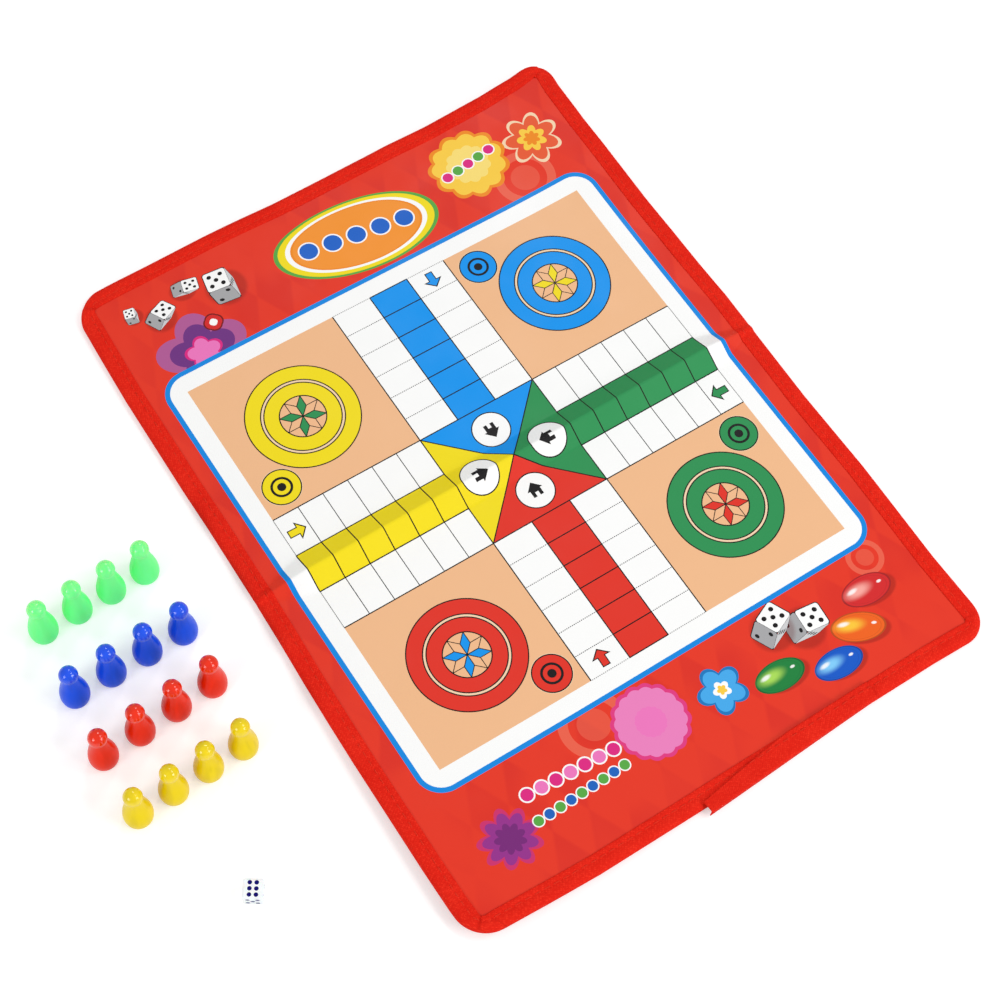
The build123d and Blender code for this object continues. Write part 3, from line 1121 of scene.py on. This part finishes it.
def tape_line(inset):
    """The closed line that lies inset in from the edge, one point for each section of the tape."""
    radius = round_corner(max(inset, 0))
    reach = np.array([half_width - inset - radius, half_length - inset - radius])
    points = []
    for corner, share, angle in stations_of_tape:
        before, after = CORNERS[corner - 1] * reach, CORNERS[corner] * reach
        outward = np.array([math.cos(angle), math.sin(angle)])
        points.append(before + (after - before) * share + outward * radius)
    return np.array(points)


def distances(line):
    """How far along a closed line each of its points lies, and its whole length."""
    steps = np.hypot(*np.diff(np.concatenate([line, line[:1]]), axis=0).T)
    return np.concatenate([[0], np.cumsum(steps)])


stations_of_tape = tape_stations(SECTION_STEP)
turns = np.array([angle for _, _, angle in stations_of_tape])
seam = tape_line(SEAM)
seam_run = distances(seam)
edge_run = distances(tape_line(0))
seam_length = seam_run[-1]
stitch_count = round(seam_length / STITCH_PITCH)
pitch = seam_length / stitch_count
print("tape", round(edge_run[-1] / MM), "mm long,", len(turns), "sections,", stitch_count, "stitches")


# %% Puckers and corner pleats
PUFF, PUFF_REACH = 0.10 * MM, 1.6 * MM  # between stitches the cloth puffs up
EDGE_WAVE, EDGE_REACH = 0.06 * MM, 2 * MM  # and the outer edge waves a little
SLOW_WAVE = 0.06 * MM
PLEAT_STEP, PLEAT_HOLLOW = 0.45 * MM, 0.22 * MM


def tape_relief(along, inset, height, turn):
    """Extra height of the tape: puffs between stitches, and the folded layer at each corner."""
    upper = fade(height, 2.2 * MM, 3.4 * MM)
    pleated = fade(height, 1.6 * MM, 3.3 * MM)
    beat = 2 * math.pi * along / pitch
    puff = -PUFF * np.exp(-(((inset - SEAM) / PUFF_REACH) ** 2)) * np.cos(beat)
    edge = EDGE_WAVE * np.exp(-((inset / EDGE_REACH) ** 2)) * np.cos(beat + 1.0)
    slow = SLOW_WAVE * np.sin(along * 95) * np.sin(along * 37 + 1.2)
    quarter = np.degrees(np.mod(turn + math.pi / 2, math.pi / 2))
    folded = fade(quarter, 44, 48) * (1 - fade(quarter, 60, 88))
    hollow = fade(quarter, 24, 43) * (1 - fade(quarter, 44, 46))
    return upper * (puff + edge + slow) + pleated * (PLEAT_STEP * folded - PLEAT_HOLLOW * hollow)


def lift(x, y, height):
    """How far a point of the edge goes up with the ridge, the padding and the curl of the corners."""
    return np.clip(height / face_top, 0, 1) * (ridge(x, y) + sway(x, y)) + curl(x, y)


# %% Edge tape mesh
section = np.array(OUTSIDE + INSIDE) * MM
size, count = len(section), len(turns)
lines = np.stack([tape_line(inset) for inset in section[:, 0]], 1)
x, y = lines[..., 0], lines[..., 1]
inset = np.tile(section[:, 0], (count, 1))
height = np.tile(section[:, 1], (count, 1))
along = np.tile(seam_run[:-1, None], (1, size))
relief = tape_relief(along, inset, height, np.tile(turns[:, None], (1, size)))
z = height + relief + lift(x, y, height)
x, y = strayed(x, y)
across = np.concatenate([[0], np.cumsum(np.hypot(*np.diff(section, axis=0).T))])
faces = []
for i in range(count):
    after = (i + 1) % count
    for j in range(size):
        k = (j + 1) % size
        faces.append((i * size + j, i * size + k, after * size + k, after * size + j))
tape = new_piece("edge_tape", np.stack([x, y, z], -1).reshape(-1, 3), faces, edge_tape)
flat = np.stack([along, np.tile(across, (count, 1)), 0 * along], -1) / MM
keep_flat_places(tape.data, flat.reshape(-1, 3))
tape_parts = ("tape_end", "tape_left", "tape_right", "tape_fold_left", "tape_fold_right")
for half in ("near_", "far_"):
    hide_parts(*[half + part for part in tape_parts])
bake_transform(tape)
print(len(tape.data.vertices), "points")

# %% [markdown]
# The tape's two ends meet on the near edge. The upper end is cut across, isn't sewn down at its tip,
# and stands out a little from the board, with the cut edge open.

# %% Raw end of the tape
lap_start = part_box("tape_overlap")[0].x + 1.0 * MM
lap_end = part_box("tape_overlap")[1].x
edge_y = -half_length
inner_y = tape_width - half_length
LAP_INSET = 6.0 * MM  # how much wider the raw end is, and over what run it narrows
LAP_RUN = 46 * MM
LAP_SLANT = -0.4 * MM  # the cut runs a little aslant and a little bowed
LAP_BOW = 0.2 * MM
LAP_RISE = 0.85 * MM
LAP_BEND = 0.7 * MM  # radius of its folded inner edge
LAP_CURL = 0.35 * MM
JUT = 3.2 * MM  # how far its tip stands out past the board's edge
JUT_END = 0.3 * MM  # how far inside the edge its sewn end lies
DOWN_FROM = 0.72  # past this share of its width the cloth goes down over the edge


def lap_inner_edge(x, start):
    return inner_y - LAP_INSET * np.clip(1 - (x - start) / LAP_RUN, 0, 1) ** 1.15


def lap_point(u, v):
    """A point of the upper side: u from the raw end along the edge, v from the inner edge out and down."""
    inner_start = lap_start + LAP_SLANT
    inner_x = inner_start + (lap_end - inner_start) * u
    outer_x = lap_start + (lap_end - lap_start) * u
    inner = lap_inner_edge(inner_x, inner_start)
    outer = edge_y + JUT_END - (JUT + JUT_END) * (1 - u) ** 1.1
    wide = outer - inner
    over_edge = np.clip(v / DOWN_FROM, 0, 1)
    fall = np.clip((v - DOWN_FROM) / (1 - DOWN_FROM), 0, 1)
    x = inner_x + (outer_x - inner_x) * over_edge + LAP_BOW * np.sin(math.pi * v) * (1 - u) ** 12
    y = inner + wide * over_edge
    top = tape_top + LAP_RISE
    from_edge = (1 - over_edge) * np.abs(wide)
    rounding = LAP_BEND - np.sqrt(np.maximum(LAP_BEND**2 - np.maximum(LAP_BEND - from_edge, 0) ** 2, 0))
    return x, y, top - rounding - (top - LAP_BEND - 0.5 * MM) * fall


u, v = np.meshgrid(np.linspace(0, 1, 130), np.linspace(0, 1, 22), indexing="ij")
x, y, z = lap_point(u, v)
sunk = np.where(v < DOWN_FROM, 1.0, 1 - (v - DOWN_FROM) / (1 - DOWN_FROM))
sewn = tape_relief(x - lap_start, y - edge_y, 3.6 * MM + 0 * x, 0 * x) * fade(u, 0.2, 0.45)
z = z + sunk * (sway(x, y) + sewn + LAP_CURL * np.exp(-((u / 0.06) ** 2))) + curl(x, y)
x, y = strayed(x, y)
upper = np.stack([x, y, z], -1)
normal = np.cross(np.gradient(upper, axis=0), np.gradient(upper, axis=1))
normal /= np.maximum(np.linalg.norm(normal, axis=-1, keepdims=True), 1e-12)
if normal[0, 0, 2] < 0:
    normal = -normal
points = np.stack([upper, upper - normal * tape_thickness]).reshape(-1, 3)
overlap = new_piece("tape_overlap_cloth", points, closed_faces(*u.shape), edge_tape)
flat = np.stack([u * (lap_end - lap_start) / MM + 300, v * 12.5, 0 * u], -1).reshape(-1, 3)
keep_flat_places(overlap.data, np.concatenate([flat, flat]))
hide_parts("tape_overlap")
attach(overlap, "near_half")

# %% [markdown]
# ## Stitches
# One row of lockstitches holds the tape. Each stitch is a short bead of two-ply thread that dives into
# the cloth at both ends, so each is a small bent tube and not a drawn line.


# %% Material: thread
thread, tree, shader = new_material("thread", Roughness=0.7, Specular_IOR_Level=0.1)
place = sheet_place(tree)
twist = (place.axis(0) * 2.2 + place.axis(1) * 1.4).math("FRACT") - 0.5
ply = twist.size().ramp(0.5, 0.1)
# The crowns of the two plies are painted lighter and the grooves between them darker: painted shade of the
# twist.
feed(tree, shader.inputs["Base Color"], over(tree, ink(206, 26, 14), ply, ink(248, 62, 40)))
bump(tree, shader, ply, 0.08 * MM)

# %% Stitches
STITCH_LENGTH = 3.0 * MM
THREAD_RADIUS = 0.27 * MM
THREAD_SQUASH = 0.8
DIVE = 0.42 * MM  # how deep a stitch's ends go into the cloth
BED = 0.16 * MM  # how deep the seam pulls the cloth in
ON_LAP = 0.98 * MM  # how much higher the seam lies on the raw end
RING_COUNT = 9
SIDE_COUNT = 8
seam_loop = np.concatenate([seam, seam[:1]])


def on_seam(distance):
    distance = np.mod(distance, seam_length)
    return np.interp(distance, seam_run, seam_loop[:, 0]), np.interp(distance, seam_run, seam_loop[:, 1])


def seam_height(x, y):
    """The top of whatever cloth lies at a point of the seam."""
    height = tape_top - BED + ridge(x, y) + sway(x, y) + curl(x, y)
    beside_lap = (y < lap_inner_edge(x, lap_start + LAP_SLANT)) & (y < corner_radius - half_length)
    return height + np.where(beside_lap & (x > lap_start) & (x < lap_end), ON_LAP, 0.0)


def stitch_line(middle):
    """Points along one stitch, from where it leaves the cloth to where it dives in again."""
    steps = np.linspace(-0.5, 0.5, RING_COUNT)
    x, y = on_seam(middle + steps * STITCH_LENGTH)
    z = seam_height(x, y) + BED - DIVE * (2 * np.abs(steps)) ** 3
    return np.stack([*strayed(x, y), z], -1), (middle + steps * STITCH_LENGTH) / MM


vertices, faces, flat = [], [], []
for number in range(stitch_count):
    line, along = stitch_line((number + 0.5) * pitch)
    ahead = np.gradient(line, axis=0)
    ahead /= np.linalg.norm(ahead, axis=1, keepdims=True)
    side = np.cross(ahead, (0, 0, 1.0))
    side /= np.linalg.norm(side, axis=1, keepdims=True)
    above = np.cross(side, ahead) * THREAD_SQUASH
    first = len(vertices)
    last = first + (RING_COUNT - 1) * SIDE_COUNT
    for i in range(RING_COUNT):
        for k in range(SIDE_COUNT):
            angle = 2 * math.pi * k / SIDE_COUNT
            outward = side[i] * math.cos(angle) + above[i] * math.sin(angle)
            vertices.append(line[i] + outward * THREAD_RADIUS)
            flat.append((along[i], k * 0.2, 0))
    for a in range(first, last):
        b = a + 1 if (a + 1 - first) % SIDE_COUNT else a + 1 - SIDE_COUNT
        faces.append((a, b, b + SIDE_COUNT, a + SIDE_COUNT))
    faces.append(tuple(range(first + SIDE_COUNT - 1, first - 1, -1)))
    faces.append(tuple(range(last, last + SIDE_COUNT)))
stitches = new_piece("stitching", vertices, faces, thread)
keep_flat_places(stitches.data, flat)
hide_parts("near_stitching", "far_stitching")
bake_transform(stitches)
print(len(vertices), "points")

# %% [markdown]
# The two stiffeners are grey board. They don't show while the cover is whole, but they bend with it.

# %% Material: stiffener
stiffener, tree, shader = new_material("stiffener", Roughness=0.85)
flecks = noise(tree, solid_place(tree), 900, 3)
grey = over(tree, ink(128, 124, 116), flecks.ramp(0.35, 0.65), ink(158, 154, 145))
feed(tree, shader.inputs["Base Color"], grey)
bump(tree, shader, flecks, 0.1 * MM)

# %% Two stiffeners
CLEARANCE = 0.05 * MM
insert_low, insert_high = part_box("far_insert")
insert_inset = half_width - insert_high.x
for side, name in ((-1, "near"), (1, "far")):
    rows = stations(half_length - insert_inset, 4 * MM, 1 * MM, [end_zone])
    rows = rows[rows * side > insert_low.y]
    rows = np.sort(np.append(rows, side * insert_low.y))
    top, low = curled(insert_high.z - CLEARANCE), curled(insert_low.z + CLEARANCE)
    board = sheet_piece(name + "_stiffener", insert_inset, rows, 41, top, low, stiffener)
    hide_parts(name + "_insert")
    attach(board, name + "_half")

# %% [markdown]
# ## Pawns and die
# The pawns are moulded plastic, turned about their own axis: a foot, a round belly that narrows to the
# shoulder and the neck, and a ball for a head. Each stands where its CAD node does.

# %% Outline of a pawn, from the middle of its foot up
PAWN_OUTLINE = (  # radius and height in millimetres
    (0.0, 0.4), (3.6, 0.4), (4.3, 0.05), (5.0, 0.0), (5.45, 0.25), (5.68, 0.9), (5.86, 1.9), (5.97, 3.0),
    (6.0, 4.1), (5.93, 5.4), (5.76, 6.9), (5.5, 8.4), (5.15, 10.1), (4.8, 11.6), (4.42, 13.1), (4.08, 14.6),
    (3.8, 16.2), (3.58, 17.6), (3.45, 18.8), (3.38, 19.7), (3.36, 20.2), (3.38, 20.45),
)
HEAD_HEIGHT = 22.35
HEAD_RADIUS = 3.85
HEAD_STEPS = 18
head_start = -math.acos(PAWN_OUTLINE[-1][0] / HEAD_RADIUS)
head = [(HEAD_RADIUS * math.cos(a), HEAD_HEIGHT + HEAD_RADIUS * math.sin(a))
        for a in np.linspace(head_start + 0.05, math.pi / 2, HEAD_STEPS)]
pawn_outline = np.array(list(PAWN_OUTLINE) + head) * MM
pawn_outline[-1, 0] = 0
print("pawn", round(pawn_outline[-1, 1] / MM, 1), "mm high")


def turned_piece(name, middle, outline, material, segments=56):
    """A closed form turned about an upright axis, with single points at both ends of the axis."""
    angles = [2 * math.pi * k / segments for k in range(segments)]
    vertices = [(0, 0, outline[0, 1])]
    for radius, level in outline[1:-1]:
        vertices += [(radius * math.cos(angle), radius * math.sin(angle), level) for angle in angles]
    vertices.append((0, 0, outline[-1, 1]))
    vertices = [(middle.x + x, middle.y + y, middle.z + z) for x, y, z in vertices]
    last = len(vertices) - 1
    faces = []
    for k in range(segments):
        after = (k + 1) % segments
        faces.append((0, 1 + after, 1 + k))
        for i in range(len(outline) - 3):
            a = 1 + i * segments
            faces.append((a + k, a + after, a + segments + after, a + segments + k))
        top = 1 + (len(outline) - 3) * segments
        faces.append((top + k, top + after, last))
    return new_piece(name, vertices, faces, material)


# %% [markdown]
# The plastic's colour has faint darker upright streaks: painted reflection, standing in for the streaks that
# the rounded bodies reflect. The three opaque colours differ only in paint. The green one lets a little light
# through, so it scatters light inside, and a faint painted glow is added on top of that. Heads, which fingers
# polish, are glossier than the bodies below them.

# %% Materials: moulded plastic
# The darker upright streaks are painted reflection in the plastic's colour; this is how bright such a streak
# is.
REFLECTION_STREAK = 0.91  # a streak's brightness
UPRIGHT_STRETCH = (1, 1, 0.1)
BODY_COAT = 0.12
HEAD_COAT = 0.85  # added on the head
HEAD_FROM, HEAD_FULL = 21.2 * MM, 23.6 * MM  # heights between which the extra gloss sets in


def plastic(name, colour, **settings):
    material, tree, shader = new_material(name, Specular_IOR_Level=0.04, **settings)
    solid = solid_place(tree)
    # painted reflection: darker upright streaks laid into the base colour
    reflection_streaks = noise(tree, solid.moved("MULTIPLY", UPRIGHT_STRETCH), 330, 1)
    darker = tuple(part * REFLECTION_STREAK for part in colour[:3]) + (1,)
    feed(tree, shader.inputs["Base Color"], over(tree, colour, reflection_streaks.ramp(0.42, 0.66), darker))
    bump(tree, shader, noise(tree, solid, 420, 1), 0.05 * MM, 0.5)
    return material, shader, solid


def pawn_plastic(name, colour, **settings):
    material, shader, solid = plastic(name, colour, **settings)
    head = solid.axis(2).ramp(HEAD_FROM, HEAD_FULL)
    feed(solid.tree, shader.inputs["Coat Weight"], head * HEAD_COAT + BODY_COAT)
    return material


# The green plastic's emission is a painted glow, standing in for the light that comes through it.
green_and_painted_glow = ink(104, 255, 138)
pawn_paint = {"green": pawn_plastic(
    "pawn_green", green_and_painted_glow, Roughness=0.36, Coat_Roughness=0.12, Subsurface_Weight=0.4,
    Emission_Color=green_and_painted_glow, Emission_Strength=0.16,
)}
for colour, paint in (("blue", (22, 86, 244)), ("red", (244, 44, 4)), ("yellow", (246, 217, 8))):
    pawn_paint[colour] = pawn_plastic("pawn_" + colour, ink(*paint), Roughness=0.3, Coat_Roughness=0.1)

# %% Sixteen pawns
for colour, paint in pawn_paint.items():
    for number in range(1, 5):
        node = f"pawn_{colour}_{number}"
        low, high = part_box(node)
        middle = Vector(((low.x + high.x) / 2, (low.y + high.y) / 2, low.z))
        pawn = turned_piece("moulded_" + node, middle, pawn_outline, paint)
        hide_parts(node)
        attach(pawn, node)
print(len(pawn_paint), "colours of pawns,", len(pawn.data.vertices), "points each")

# %% Die and pips
die_white_and_painted_glow = ink(254, 254, 254)
# The die's emission is a painted glow, which makes its white brighter than the lamps alone would.
die_body, *_ = plastic(
    "die_body", die_white_and_painted_glow, Roughness=0.16, Subsurface_Weight=0.3, Coat_Weight=0.3,
    Emission_Color=die_white_and_painted_glow, Emission_Strength=0.1,
)
pip_paint, *_ = plastic("pip_paint", ink(25, 20, 110), Roughness=0.35)
for name, paint in (("die", die_body), ("die_pips", pip_paint)):
    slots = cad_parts[name].data.materials
    slots.clear()
    slots.append(paint)
